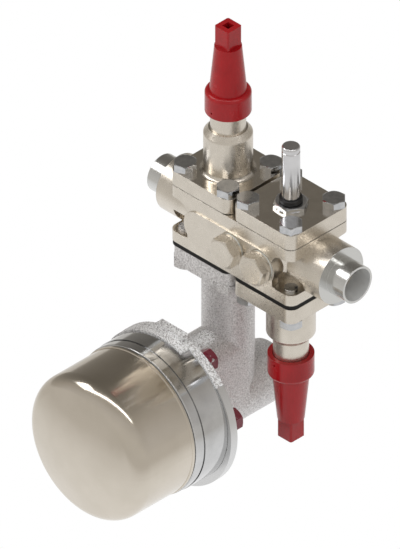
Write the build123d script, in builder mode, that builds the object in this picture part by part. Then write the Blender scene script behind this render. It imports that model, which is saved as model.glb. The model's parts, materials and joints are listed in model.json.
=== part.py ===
"""Refrigeration valve station: one block with four modules, welded into a pipe line.

The pipe line runs along +X at Y = 0, Z = 0, and the origin is the middle of the inlet weld face.
Two hand stop valves, a solenoid valve and a float drain module sit on the block. Lengths are in mm.
"""

import os
from math import asin, cos, degrees, pi, radians, sin, sqrt

from build123d import *

# Block and pipe line
module_pitch = 63.0
plate_side = 60.0
corner_round = 7.0
plate_thick = 12.0
body_half_height = 24.0
flange_thick = 9.6
barrel_radius = 25.0
pocket_width = 27.0
pocket_round = 8.0
boss_proud = 1.0
boss_radius = 13.6
boss_drop = 1.0
neck_drop = 1.8
neck_length = 20.3
stub_radius = 14.5
stub_wall = 1.75
stub_length = 16.4

# Cavities in the block
cavity_radius = 17.0
deep_cavity = 30.0
shallow_cavity = 11.0
port_radius = 8.5
gallery_radius = 4.0
bore_overlap = 5.0
cavity_gap = 0.3

# Fasteners
bolt_offset = 21.5
bolt_radius = 5.0
bolt_head_across = 16.0
bolt_head_height = 6.4
bolt_past_flange = 1.0
bolt_turn = 15.0
thread_gap = 0.15
hole_gap = 0.5
top_gasket_thick = 0.6
bottom_gasket_thick = 3.6
top_gasket_inset = 0.8
bottom_gasket_inset = 0.2
ledge_spot_radius = 11.5
ledge_spot_depth = 0.8

# Side plugs
plug_across = 21.5
plug_head = 7.3
plug_collar_radius = 12.4
plug_washer_inset = 0.4
plug_collar = 2.0
plug_washer = 1.0
plug_thread_radius = 9.0
plug_thread_length = 12.0
plug_hex_turn = 12.0
plug_drop = 1.0
middle_plug_shift = 2.0

# Hand stop valves, heights from the underside of the cover plate
bonnet_radius = 17.75
bonnet_shoulder = 44.4
bonnet_chamfer = 4.5
bonnet_step_radius = 14.2
bonnet_neck_radius = 12.9
bonnet_neck_top = 73.4
bonnet_fillet = 4.0
bonnet_cavity_radius = 12.5
bonnet_cavity_height = 14.0
packing_radius = 9.15
packing_height = 10.0
packing_start = 50.0
gland_height = 12.5
spindle_radius = 5.0
spindle_top = 92.0
spindle_square = 7.0
spindle_square_length = 12.0
shaft_gap = 0.08
seat_thick = 5.0
insert_wall = 3.5
window_radius = 5.5
cone_radius = 11.4
cone_rim = 9.0
cone_stem_radius = 8.0
cone_stem = 5.0
cone_socket = 6.0
seal_ring_wall = 2.1
seal_ring_height = 2.0
seal_proud = 1.0
seal_gap = 0.05

# Red caps
cap_radius = 16.8
cap_ring = 18.0
cap_ring_round = 3.0
cap_overlap = 9.7
cap_cone_radius = 13.5
cap_end_radius = 9.9
cap_cone = 37.7
cap_square = 14.0
cap_square_round = 1.5
cap_square_length = 16.6
cap_washer = 1.5
cap_roof = 13.0
cap_gap = 0.3
cap_recess = 6.0
cap_recess_depth = 6.0
cap_vent_radius = 0.8
cap_vent_height = 4.0

# Solenoid valve
tube_radius = 6.65
tube_top = 88.0
tube_wall = 1.3
tube_groove = 0.4
tube_groove_drop = 5.0
clip_width = 1.0
tube_end_round = 1.5
tube_foot_step = 0.3
tube_core = 26.0
flute_radius = 0.6
flute_length = 5.0
flute_count = 8
tube_nut_across = 23.0
tube_nut_height = 3.8
tube_nut_thread = 8.0
tube_nut_flange = 0.6
tube_nut_base = 1.0
tube_ring_height = 3.6
tube_ring_wall = 1.85
pilot_radius = 1.2
pilot_depth = 2.6
servo_radius = 13.0
servo_height = 9.0
servo_recess = 7.5
servo_seat_height = 4.0
servo_seat_radius = 7.5
servo_groove_low = 4.0
servo_groove_top = 6.0
servo_groove_depth = 1.35
armature_gap = 0.3
armature_lift = 2.0
armature_spring_radius = 2.7
armature_spring_wire = 0.7
armature_pocket = 9.0
servo_spring_radius = 5.0
servo_spring_wire = 1.0
servo_pocket = 4.0
spring_turns = 5

# Float module: distances along -Y from the down pipe's axis
chamber_drop = 137.1
module_flange_side = 58.0
module_flange_thick = 16.0
spot_face_radius = 10.5
spot_face_depth = 4.0
down_pipe_radius = 19.1
down_pipe_bore = 15.0
web_rise = 23.3
web_bore = 12.0
cross_radius = 22.8
cross_drop = 19.4
cross_back = 42.3
cross_round = 2.0
drain_bore = 12.0
rim_radius = 62.5
rim_drop = 2.8
rim_back = 53.0
rim_thick = 6.5
lug_width = 26.0
lug_top = 63.1
pad_left = 50.0
pad_right = 20.0
pad_proud = 1.3
pad_depth = 2.1
pad_length = 7.8
pad_gap = 1.0
rim_bolt_circle = 53.2
rim_bolt_radius = 4.0
rim_bolt_across = 15.0
rim_bolt_head = 8.0
rim_bolt_count = 7
rim_bolt_turn = 7.0
rim_bolt_left_out = 2
rim_bolt_hex_turn = 30.0
web_flare = 2.0
rim_bolt_reach = 19.0
rim_gasket = 0.5
seal_inset = 0.1
ring_radius = 59.0
ring_inner = 47.0
ring_length = 30.2
ring_collar_proud = 1.25
ring_collar = 7.7
ring_groove = 0.8
ring_spigot = 9.5
dome_seal_thick = 0.8
dome_radius = 57.15
dome_wall = 3.6
dome_lip = 0.65
dome_lip_length = 1.6
dome_straight = 43.3
dome_knuckle = 13.0
dome_crown = 150.0
crown_flat = 1.0

# Float and drain needle
ball_radius = 30.0
lever_length = 44.0
lever_width = 5.0
lever_rest_angle = -12.0
lever_sweep = 44.0
pivot_forward = 15.0
pivot_rise = 12.0
pivot_radius = 2.0
hub_radius = 4.0
hub_width = 10.0
ear_thick = 3.0
ear_gap = 0.3
screw_radius = 1.5
screw_length = 8.0
screw_edge = 3.0
short_arm = 10.5
button_radius = 2.0
needle_radius = 2.95
needle_bore = 3.0
needle_square = 4.4
needle_length = 30.0
needle_tip_radius = 0.9
needle_cone = 3.0
orifice_radius = 1.8
orifice_length = 4.5
drain_bush_radius = 7.0
drain_bush_flange = 9.0
drain_bush_length = 18.0
return_pipe_radius = 8.0
return_pipe_wall = 2.0
flow_hole_circle = 12.4
flow_hole_radius = 2.5
flow_hole_count = 8
closing_plug_head = 15.0
closing_plug_depth = 14.0
closing_plug_thick = 3.0
closing_plug_key = 12.0
closing_plug_key_depth = 8.0

# Places worked out from the sizes above
inlet_x = stub_length + neck_length + plate_side / 2
outlet_x = inlet_x + module_pitch
mid_x = (inlet_x + outlet_x) / 2
block_length = module_pitch + plate_side
station_length = outlet_x + inlet_x
stub_bore = stub_radius - stub_wall
neck_radius = body_half_height - neck_drop
waist_half_height = body_half_height - flange_thick
top_seat = body_half_height + top_gasket_thick
bottom_seat = body_half_height + bottom_gasket_thick
boss_face = plate_side / 2 + boss_proud
middle_plug_x = mid_x + middle_plug_shift
cap_rim = bonnet_neck_top - cap_overlap
cap_seat = bonnet_neck_top + cap_washer
corner_spots = [(sx * bolt_offset, sy * bolt_offset) for sx in (-1, 1) for sy in (-1, 1)]
chamber_z = -chamber_drop
rim_front = rim_back + rim_thick
ring_back = rim_front + rim_gasket
ring_front = ring_back + ring_length
dome_back = ring_front + dome_seal_thick
ring_collar_radius = dome_radius + ring_collar_proud
pad_radius = ring_radius + pad_proud
seal_edge = pad_radius - pad_depth - cavity_gap
pivot_at = rim_front + pivot_forward
pivot_z = pivot_rise - cross_drop
foot_low = pivot_z - hub_radius + 2
screw_spots = [(0, foot_low + screw_edge), (0, foot_low + 3 * hub_radius - screw_edge)]

os.makedirs("parts", exist_ok=True)


def finish(piece, name):
    """Label a finished piece and write its file."""
    piece.part.label = name
    export_step(piece.part, f"parts/{name}.step")


def upright(x, z, up=1):
    """A frame on a vertical axis, its height running up or down."""
    return Plane(origin=(x, 0, z), x_dir=(1, 0, 0), z_dir=(0, 0, up))


def forward(x, y, z, way=-1):
    """A frame on an axis along Y, its height running to the front or, with way=1, to the back."""
    return Plane(origin=(x, y, z), x_dir=(1, 0, 0), z_dir=(0, way, 0))


def along_pipe(x, way=1):
    """A frame on the pipe line's axis, its height running along +X or -X."""
    return Plane(origin=(x, 0, 0), x_dir=(0, 1, 0), z_dir=(way, 0, 0))


def turned(frame, points, rounds=(), mode=Mode.ADD):
    """Revolve a profile of (radius, height) points about the frame's axis."""
    side = Plane(origin=frame.origin, x_dir=frame.x_dir, z_dir=frame.x_dir.cross(frame.z_dir))
    with BuildSketch(side) as profile:
        with BuildLine():
            Polyline(*points, close=True)
        make_face()
        for corner, radius in rounds:
            spot = Vector(*points[corner])
            fillet(profile.vertices().sort_by_distance(spot)[0], radius)
    revolve(profile.sketch, axis=Axis(frame.origin, frame.z_dir), mode=mode)


def bar(frame, radius, start, end, mode=Mode.ADD, spots=((0, 0),)):
    """A round bar or hole from one height of the frame to another, at one or more spots."""
    with BuildSketch(frame.offset(start)) as outline:
        with Locations(*spots):
            Circle(radius)
    extrude(outline.sketch, amount=end - start, mode=mode)


def plate(frame, side, start, end, mode=Mode.ADD):
    """A square plate with rounded corners."""
    with BuildSketch(frame.offset(start)) as outline:
        RectangleRounded(side, side, corner_round)
    extrude(outline.sketch, amount=end - start, mode=mode)


def hexagon(frame, across, start, end, turn=0.0):
    """A hexagon bar with the round chamfer of a bolt head on its far end."""
    reach = across / sqrt(3)
    chamfer_height = (reach - across / 2 * 0.95) * 0.5
    with BuildSketch(frame.offset(start)) as outline:
        RegularPolygon(across / 2, 6, major_radius=False, rotation=turn)
    extrude(outline.sketch, amount=end - start)
    turned(
        frame.offset(start),
        [
            (0, 0),
            (reach, 0),
            (reach, end - start - chamfer_height),
            (across / 2 * 0.95, end - start),
            (0, end - start),
        ],
        mode=Mode.INTERSECT,
    )


def bolt_set(frame, spots, across, head, radius, length, turn=0.0):
    """Identical hexagon bolts, heads outward from the frame and shanks into the piece below."""
    with BuildPart() as bolt:
        hexagon(Plane.XY, across, 0, head, turn)
        bar(Plane.XY, radius, 0, -length)
    with BuildPart(frame) as bolts:
        with Locations(*spots):
            add(bolt.part)
    return bolts


def coil_spring(frame, radius, wire, start, end):
    """A coil spring that stands between two heights of the frame."""
    low = start + wire / 2 + 0.05
    rise = end - start - wire - 0.1
    with BuildPart() as spring:
        with BuildLine(frame.offset(low)) as path:
            Helix(pitch=rise / spring_turns, height=rise, radius=radius)
        with BuildSketch(Plane(origin=path.line @ 0, z_dir=path.line % 0)) as section:
            Circle(wire / 2)
        sweep(section.sketch, path=path.line, is_frenet=True)
    return spring


# Valve body


def corner_pockets():
    """The diagonal pockets in the block's four outer corners, which leave the round barrels."""
    height = 2 * waist_half_height
    with BuildPart() as pockets:
        for x, side in ((inlet_x, -1), (outlet_x, 1)):
            for depth in (-1, 1):
                way = Vector(side, depth, 0).normalized()
                start = Vector(x, 0, 0) + way * (barrel_radius / 2)
                across = Vector(-way.Y, way.X, 0)
                with BuildSketch(Plane(origin=start, x_dir=across, z_dir=way)) as mouth:
                    Rectangle(pocket_width, height)
                    fillet(mouth.vertices().group_by(Axis.Y)[-1], pocket_round)
                extrude(mouth.sketch, amount=plate_side)
        for x in (inlet_x, outlet_x):
            bar(upright(x, 0), barrel_radius, -body_half_height, body_half_height, Mode.SUBTRACT)
    return pockets


pockets = corner_pockets()

with BuildPart() as valve_body:
    for start in (-body_half_height, waist_half_height):
        with BuildSketch(Plane.XY.offset(start)) as flange:
            with Locations((mid_x, 0)):
                RectangleRounded(block_length, plate_side, corner_round)
        extrude(flange.sketch, amount=flange_thick)
    with BuildSketch(Plane.XY.offset(-waist_half_height)) as waist:
        with Locations((mid_x, 0)):
            RectangleRounded(block_length, plate_side, corner_round)
    extrude(waist.sketch, amount=2 * waist_half_height)
    add(pockets.part, mode=Mode.SUBTRACT)
    # Front boss for the side plugs, round at both ends
    with BuildSketch(forward(mid_x, 0, -boss_drop)) as boss:
        SlotCenterToCenter(module_pitch, 2 * boss_radius)
    extrude(boss.sketch, amount=boss_face)
    # Necks and weld stubs at both ends
    for start, way in ((0, 1), (station_length, -1)):
        end = along_pipe(start, way)
        root = stub_length + neck_length
        turned(
            end,
            [
                (0, 0),
                (stub_radius, 0),
                (stub_radius, stub_length),
                (neck_radius, stub_length),
                (neck_radius, root),
                (0, root),
            ],
        )
        bar(end, neck_radius, root, root + plate_side / 2 - barrel_radius + corner_round)
    # Cavities, ports and the gallery that joins the two sides
    top_in = upright(inlet_x, body_half_height)
    top_out = upright(outlet_x, body_half_height)
    bottom_in = upright(inlet_x, -body_half_height, -1)
    bottom_out = upright(outlet_x, -body_half_height, -1)
    bar(top_in, cavity_radius, -deep_cavity, 0, Mode.SUBTRACT)
    bar(bottom_in, cavity_radius, -shallow_cavity, 0, Mode.SUBTRACT)
    bar(top_out, cavity_radius, -shallow_cavity, 0, Mode.SUBTRACT)
    bar(bottom_out, cavity_radius, -deep_cavity, 0, Mode.SUBTRACT)
    for x in (inlet_x, outlet_x):
        bar(upright(x, 0), port_radius, -body_half_height, body_half_height, Mode.SUBTRACT)
    for start, way in ((0, 1), (station_length, -1)):
        reach = inlet_x - cavity_radius + bore_overlap
        bar(along_pipe(start, way), stub_bore, 0, reach, Mode.SUBTRACT)
    gallery_rise = body_half_height - shallow_cavity / 2
    gallery_run = module_pitch / 2 - cavity_radius * 0.6
    gallery_way = Vector(gallery_run, 0, gallery_rise).normalized()
    gallery = Plane(origin=(mid_x, 0, 0), x_dir=(0, 1, 0), z_dir=gallery_way)
    gallery_half = sqrt(gallery_run**2 + gallery_rise**2)
    bar(gallery, gallery_radius, -gallery_half, gallery_half, Mode.SUBTRACT)
    # Side ports under the two plugs
    for x in (middle_plug_x, outlet_x):
        port = forward(x, -boss_face, -plug_drop)
        bar(port, plug_thread_radius + thread_gap, -plug_thread_length, 0, Mode.SUBTRACT)
        bar(port, plug_thread_radius / 3, -boss_face, 0, Mode.SUBTRACT)
    # Threaded holes for the cover bolts
    for face in (top_in, top_out, bottom_in, bottom_out):
        hole = bolt_radius + thread_gap
        depth = flange_thick + bolt_past_flange + cavity_gap
        bar(face, hole, -depth, 0, Mode.SUBTRACT, corner_spots)
    # Spot faces round the bolt ends, on the ledges of the outer corners
    for face, side in ((bottom_in, -1), (bottom_out, 1)):
        outer = [(x, y) for x, y in corner_spots if x == side * bolt_offset]
        deep = flange_thick - ledge_spot_depth
        bar(face, ledge_spot_radius, -2 * flange_thick, -deep, Mode.SUBTRACT, outer)
finish(valve_body, "valve_body")


# Side plugs with their washers

plug_front = forward(0, -boss_face, -plug_drop)
for x, name in ((middle_plug_x, "middle_side_plug"), (outlet_x, "outlet_side_plug")):
    face = forward(x, -boss_face, -plug_drop)
    with BuildPart() as side_plug:
        hexagon(
            face,
            plug_across,
            plug_washer + plug_collar,
            plug_washer + plug_collar + plug_head,
            plug_hex_turn,
        )
        bar(face, plug_collar_radius, plug_washer, plug_washer + plug_collar)
        bar(face, plug_thread_radius, -plug_thread_length, plug_washer)
    finish(side_plug, name)

with BuildPart(plug_front) as plug_washers:
    ports = ((middle_plug_x, 0), (outlet_x, 0))
    bar(plug_front, plug_collar_radius - plug_washer_inset, 0, plug_washer, spots=ports)
    bar(plug_front, plug_thread_radius + thread_gap, 0, plug_washer, Mode.SUBTRACT, ports)
finish(plug_washers, "side_plug_washers")


# Cover gaskets and bolts


def cover_gasket(frame, thick, inset):
    """A flat gasket under a cover plate; the frame is the plate's underside."""
    with BuildPart() as gasket:
        plate(frame, plate_side - 2 * inset, -thick, 0)
        bar(frame, cavity_radius + cavity_gap, -thick, 0, Mode.SUBTRACT)
        bar(frame, bolt_radius + hole_gap, -thick, 0, Mode.SUBTRACT, corner_spots)
    return gasket


inlet_seat = upright(inlet_x, top_seat)
solenoid_seat = upright(outlet_x, top_seat)
float_seat = upright(inlet_x, -bottom_seat, -1)
outlet_seat = upright(outlet_x, -bottom_seat, -1)

float_grip = module_flange_thick - spot_face_depth
for frame, thick, inset, grip, name in (
    (inlet_seat, top_gasket_thick, top_gasket_inset, plate_thick, "inlet_valve"),
    (solenoid_seat, top_gasket_thick, top_gasket_inset, plate_thick, "solenoid"),
    (float_seat, bottom_gasket_thick, bottom_gasket_inset, float_grip, "float_module"),
    (outlet_seat, bottom_gasket_thick, bottom_gasket_inset, plate_thick, "outlet_valve"),
):
    finish(cover_gasket(frame, thick, inset), f"{name}_gasket")
    shank = grip + thick + flange_thick + bolt_past_flange
    bolts = bolt_set(
        frame.offset(grip),
        corner_spots,
        bolt_head_across,
        bolt_head_height,
        bolt_radius,
        shank,
        bolt_turn * frame.z_dir.Z,
    )
    finish(bolts, f"{name}_bolts")


# Hand stop valves


def stop_valve_bonnet(frame):
    """Cover plate, bonnet and threaded neck, cast and turned in one piece."""
    packing_end = packing_start + packing_height
    with BuildPart() as bonnet:
        plate(frame, plate_side, 0, plate_thick)
        turned(
            frame,
            [
                (0, plate_thick / 2),
                (bonnet_radius + bonnet_fillet, plate_thick / 2),
                (bonnet_radius + bonnet_fillet, plate_thick),
                (bonnet_radius, plate_thick),
                (bonnet_radius, bonnet_shoulder),
                (bonnet_step_radius, bonnet_shoulder + bonnet_chamfer),
                (bonnet_neck_radius, bonnet_shoulder + bonnet_chamfer),
                (bonnet_neck_radius, bonnet_neck_top),
                (0, bonnet_neck_top),
            ],
            [(3, bonnet_fillet * 0.9), (4, 1.5)],
        )
        turned(
            frame,
            [
                (0, 0),
                (bonnet_cavity_radius, 0),
                (bonnet_cavity_radius, bonnet_cavity_height),
                (spindle_radius + shaft_gap, bonnet_cavity_height + bonnet_cavity_radius / 2),
                (spindle_radius + shaft_gap, packing_start),
                (packing_radius, packing_start),
                (packing_radius, packing_end + gland_height),
                (packing_radius, bonnet_neck_top),
                (0, bonnet_neck_top),
            ],
            mode=Mode.SUBTRACT,
        )
        bar(frame, bolt_radius + hole_gap, 0, plate_thick, Mode.SUBTRACT, corner_spots)
    return bonnet


def stop_valve_insert(frame, thick):
    """The seat cage between the cover and the cavity's floor, with windows round its wall."""
    floor = deep_cavity + thick
    outer = cavity_radius - cavity_gap
    inner = outer - insert_wall
    window = -floor + seat_thick + cone_rim
    with BuildPart() as insert:
        turned(
            frame,
            [
                (port_radius, -floor),
                (outer, -floor),
                (outer, 0),
                (inner, 0),
                (inner, -floor + seat_thick),
                (port_radius, -floor + seat_thick),
            ],
        )
        for turn in range(4):
            way = Vector(cos(radians(90 * turn)), sin(radians(90 * turn)), 0)
            centre = frame.from_local_coords(Vector(0, 0, window))
            hole = Plane(origin=centre, x_dir=frame.z_dir, z_dir=way)
            bar(hole, window_radius, inner / 2, outer * 1.1, Mode.SUBTRACT)
    return insert


def stop_valve_cone(frame, seat_at):
    """The valve cone, with a groove below for its seal ring and a socket above for the spindle."""
    low = seat_at + seal_proud
    groove = low + seal_ring_height - seal_proud + seal_gap
    rim = low + cone_rim
    ring_inside = port_radius + 0.4
    ring_outside = ring_inside + seal_ring_wall
    with BuildPart() as cone:
        turned(
            frame,
            [
                (0, low),
                (ring_inside, low),
                (ring_inside, groove),
                (ring_outside, groove),
                (ring_outside, low),
                (cone_radius, low),
                (cone_radius, rim - 2),
                (cone_stem_radius, rim),
                (cone_stem_radius, rim + cone_stem),
                (spindle_radius + shaft_gap, rim + cone_stem),
                (spindle_radius + shaft_gap, rim + cone_stem - cone_socket),
                (0, rim + cone_stem - cone_socket),
            ],
        )
    with BuildPart() as ring:
        turned(
            frame,
            [
                (ring_inside, seat_at + seal_gap),
                (ring_outside, seat_at + seal_gap),
                (ring_outside, groove),
                (ring_inside, groove),
            ],
        )
    return cone, ring


def stop_valve_spindle(frame, foot):
    """The spindle, with a square end for the key."""
    with BuildPart() as spindle:
        turned(
            frame,
            [
                (0, foot),
                (spindle_radius - 0.5, foot),
                (spindle_radius, foot + 0.5),
                (spindle_radius, spindle_top),
                (0, spindle_top),
            ],
        )
        start = spindle_top - spindle_square_length
        with BuildSketch(frame.offset(start)) as flats:
            Circle(spindle_radius * 2)
            Rectangle(spindle_square, spindle_square, mode=Mode.SUBTRACT)
        extrude(flats.sketch, amount=spindle_square_length, mode=Mode.SUBTRACT)
    return spindle


def packing_rings(frame):
    """Three packing rings round the spindle."""
    height = packing_height / 3
    with BuildPart() as rings:
        for step in range(3):
            low = packing_start + step * height
            turned(
                frame,
                [
                    (spindle_radius + shaft_gap, low),
                    (packing_radius - thread_gap, low),
                    (packing_radius - thread_gap, low + height - shaft_gap),
                    (spindle_radius + shaft_gap, low + height - shaft_gap),
                ],
            )
    return rings


def gland_nut(frame):
    """The screwed gland that holds the packing down, with two key slots in its top."""
    low = packing_start + packing_height
    with BuildPart() as gland:
        turned(
            frame,
            [
                (spindle_radius + shaft_gap, low),
                (packing_radius - thread_gap, low),
                (packing_radius - thread_gap, low + gland_height),
                (spindle_radius + shaft_gap, low + gland_height),
            ],
        )
        with BuildSketch(frame.offset(low + gland_height - 2)) as slot:
            Rectangle(packing_radius * 2, 2.5)
        extrude(slot.sketch, amount=2, mode=Mode.SUBTRACT)
    return gland


def valve_cap(frame):
    """The red cap: a ring that screws on the neck, a long cone and a square end with a recess."""
    ring_top = cap_rim + cap_ring
    cone_top = ring_top + cap_cone
    end = cone_top + cap_square_length
    roof = end - cap_roof
    with BuildPart() as cap:
        turned(
            frame,
            [
                (bonnet_neck_radius + cap_gap, cap_rim),
                (cap_radius, cap_rim),
                (cap_radius, ring_top),
                (cap_cone_radius, ring_top),
                (cap_end_radius, cone_top),
                (cap_end_radius, end),
                (0, end),
                (0, roof),
                (cap_end_radius - 3.5, roof),
                (packing_radius, cap_seat),
                (bonnet_neck_radius + cap_gap, cap_seat),
            ],
            [(2, cap_ring_round)],
        )
        with BuildSketch(frame.offset(cone_top)) as flats:
            Circle(cap_radius)
            RectangleRounded(cap_square, cap_square, cap_square_round, mode=Mode.SUBTRACT)
        extrude(flats.sketch, amount=cap_square_length, mode=Mode.SUBTRACT)
        with BuildSketch(frame.offset(end - cap_recess_depth)) as recess:
            Rectangle(cap_recess, cap_recess)
        extrude(recess.sketch, amount=cap_recess_depth, mode=Mode.SUBTRACT)
        height = frame.origin + frame.z_dir * (cap_rim + cap_vent_height)
        vent = forward(height.X, 0, height.Z)
        bar(vent, cap_vent_radius, bonnet_neck_radius, cap_radius * 1.1, Mode.SUBTRACT)
    with BuildPart() as washer:
        turned(
            frame,
            [
                (packing_radius + cap_gap, bonnet_neck_top),
                (bonnet_neck_radius - cap_gap, bonnet_neck_top),
                (bonnet_neck_radius - cap_gap, cap_seat),
                (packing_radius + cap_gap, cap_seat),
            ],
        )
    return cap, washer


for frame, thick, name in (
    (inlet_seat, top_gasket_thick, "inlet_valve"),
    (outlet_seat, bottom_gasket_thick, "outlet_valve"),
):
    seat_at = seat_thick - deep_cavity - thick
    foot = seat_at + seal_proud + cone_rim + cone_stem - cone_socket + cap_gap
    cone, seal_ring = stop_valve_cone(frame, seat_at)
    cap, washer = valve_cap(frame)
    finish(stop_valve_bonnet(frame), f"{name}_bonnet")
    finish(stop_valve_insert(frame, thick), f"{name}_insert")
    finish(cone, f"{name}_cone")
    finish(seal_ring, f"{name}_cone_seal")
    finish(stop_valve_spindle(frame, foot), f"{name}_spindle")
    finish(packing_rings(frame), f"{name}_packing")
    finish(gland_nut(frame), f"{name}_gland_nut")
    finish(cap, f"{name}_cap")
    finish(washer, f"{name}_cap_washer")


# Solenoid valve, heights from the block's middle plane

column = upright(outlet_x, 0)
cover_top = top_seat + plate_thick
recess_top = top_seat + servo_recess
pilot_seat = cover_top - pilot_depth
servo_seat = body_half_height - shallow_cavity + servo_seat_height
servo_low = servo_seat + seal_gap
servo_groove_radius = servo_radius - cavity_gap / 2 - servo_groove_depth
nut_top = cover_top + tube_nut_height
core_low = tube_top - tube_core
armature_low = pilot_seat + seal_gap
armature_top = core_low - armature_lift - cap_gap
tube_inner = tube_radius - tube_wall
clip_groove = tube_top - tube_groove_drop
tube_foot_radius = tube_radius - tube_foot_step
ring_top = nut_top + tube_ring_height

with BuildPart() as solenoid_cover:
    plate(solenoid_seat, plate_side, 0, plate_thick)
    bar(column, servo_radius + cavity_gap, top_seat, recess_top, Mode.SUBTRACT)
    bar(column, pilot_radius, recess_top, pilot_seat, Mode.SUBTRACT)
    bar(column, tube_nut_thread + thread_gap, pilot_seat, cover_top, Mode.SUBTRACT)
    bar(solenoid_seat, bolt_radius + hole_gap, 0, plate_thick, Mode.SUBTRACT, corner_spots)
finish(solenoid_cover, "solenoid_cover")

with BuildPart() as solenoid_insert:
    floor = body_half_height - shallow_cavity
    bar(column, cavity_radius - cavity_gap, floor, servo_seat)
    bar(column, servo_seat_radius, floor, servo_seat, Mode.SUBTRACT)
finish(solenoid_insert, "solenoid_insert")

with BuildPart() as servo_piston:
    turned(
        column,
        [
            (0, servo_low),
            (servo_radius - 2, servo_low),
            (servo_radius - cavity_gap / 2, servo_low + 2),
            (servo_radius - cavity_gap / 2, servo_low + servo_groove_low),
            (servo_groove_radius, servo_low + servo_groove_low),
            (servo_groove_radius, servo_low + servo_groove_top),
            (servo_radius - cavity_gap / 2, servo_low + servo_groove_top),
            (servo_radius - cavity_gap / 2, servo_low + servo_height),
            (servo_spring_radius + 1.2, servo_low + servo_height),
            (servo_spring_radius + 1.2, servo_low + servo_height - servo_pocket),
            (0, servo_low + servo_height - servo_pocket),
        ],
    )
finish(servo_piston, "servo_piston")

with BuildPart() as servo_piston_ring:
    low = servo_low + servo_groove_low
    high = servo_low + servo_groove_top
    bar(column, servo_radius, low, high)
    bar(column, servo_groove_radius, low, high, Mode.SUBTRACT)
finish(servo_piston_ring, "servo_piston_ring")

servo_spring = coil_spring(
    column,
    servo_spring_radius,
    servo_spring_wire,
    servo_low + servo_height - servo_pocket,
    recess_top,
)
finish(servo_spring, "servo_spring")

with BuildPart() as armature_tube:
    turned(
        column,
        [
            (tube_inner, pilot_seat),
            (tube_foot_radius, pilot_seat),
            (tube_foot_radius, ring_top + tube_foot_step),
            (tube_radius, ring_top + tube_foot_step),
            (tube_radius, clip_groove),
            (tube_radius - tube_groove, clip_groove + tube_groove),
            (tube_radius - tube_groove, clip_groove + clip_width),
            (tube_radius, clip_groove + clip_width + tube_groove),
            (tube_radius, tube_top),
            (0, tube_top),
            (0, core_low),
            (tube_inner, core_low),
        ],
        [(8, tube_end_round)],
    )
    with BuildSketch(column.offset(nut_top + flute_radius)) as flutes:
        with PolarLocations(tube_radius + flute_radius / 3, flute_count):
            Circle(flute_radius)
    extrude(flutes.sketch, amount=flute_length + tube_ring_height, mode=Mode.SUBTRACT)
finish(armature_tube, "armature_tube")

with BuildPart() as armature_tube_nut:
    hexagon(column, tube_nut_across, cover_top, nut_top)
    bar(column, tube_nut_across / 2 + tube_nut_flange, cover_top, cover_top + tube_nut_base)
    bar(column, tube_nut_thread, pilot_seat, cover_top)
    bar(column, tube_foot_radius + shaft_gap, pilot_seat, nut_top, Mode.SUBTRACT)
finish(armature_tube_nut, "armature_tube_nut")

with BuildPart() as armature_tube_ring:
    turned(
        column,
        [
            (tube_foot_radius + shaft_gap, nut_top),
            (tube_radius + tube_ring_wall, nut_top),
            (tube_radius + tube_ring_wall, ring_top),
            (tube_foot_radius + shaft_gap, ring_top),
        ],
        [(1, 0.8), (2, 0.8)],
    )
finish(armature_tube_ring, "armature_tube_ring")

with BuildPart() as armature:
    turned(
        column,
        [
            (0, armature_low),
            (pilot_radius * 2, armature_low),
            (pilot_radius * 2, armature_low + 1),
            (tube_inner - armature_gap, armature_low + 2),
            (tube_inner - armature_gap, armature_top),
            (armature_spring_radius + 0.8, armature_top),
            (armature_spring_radius + 0.8, armature_top - armature_pocket),
            (0, armature_top - armature_pocket),
        ],
    )
finish(armature, "armature")

armature_spring = coil_spring(
    column,
    armature_spring_radius,
    armature_spring_wire,
    armature_top - armature_pocket,
    core_low,
)
finish(armature_spring, "armature_spring")


# Float module casting

chamber = forward(inlet_x, 0, chamber_z)
chamber_back = forward(inlet_x, 0, chamber_z, 1)
web_at = chamber_drop - web_rise - bottom_seat
cross_at = chamber_drop + cross_drop - bottom_seat
rim_spots = [
    (
        rim_bolt_circle * cos(radians(rim_bolt_turn + 360 / rim_bolt_count * step)),
        rim_bolt_circle * sin(radians(rim_bolt_turn + 360 / rim_bolt_count * step)),
    )
    for step in range(rim_bolt_count)
    if step != rim_bolt_left_out
]

with BuildPart() as top_pad:
    with BuildSketch(chamber.offset(rim_front)) as pad:
        Circle(pad_radius)
        Circle(pad_radius - pad_depth, mode=Mode.SUBTRACT)
        with Locations(((pad_right - pad_left) / 2, pad_radius)):
            Rectangle(pad_left + pad_right, 2 * pad_radius, mode=Mode.INTERSECT)
    extrude(pad.sketch, amount=pad_length)

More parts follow.
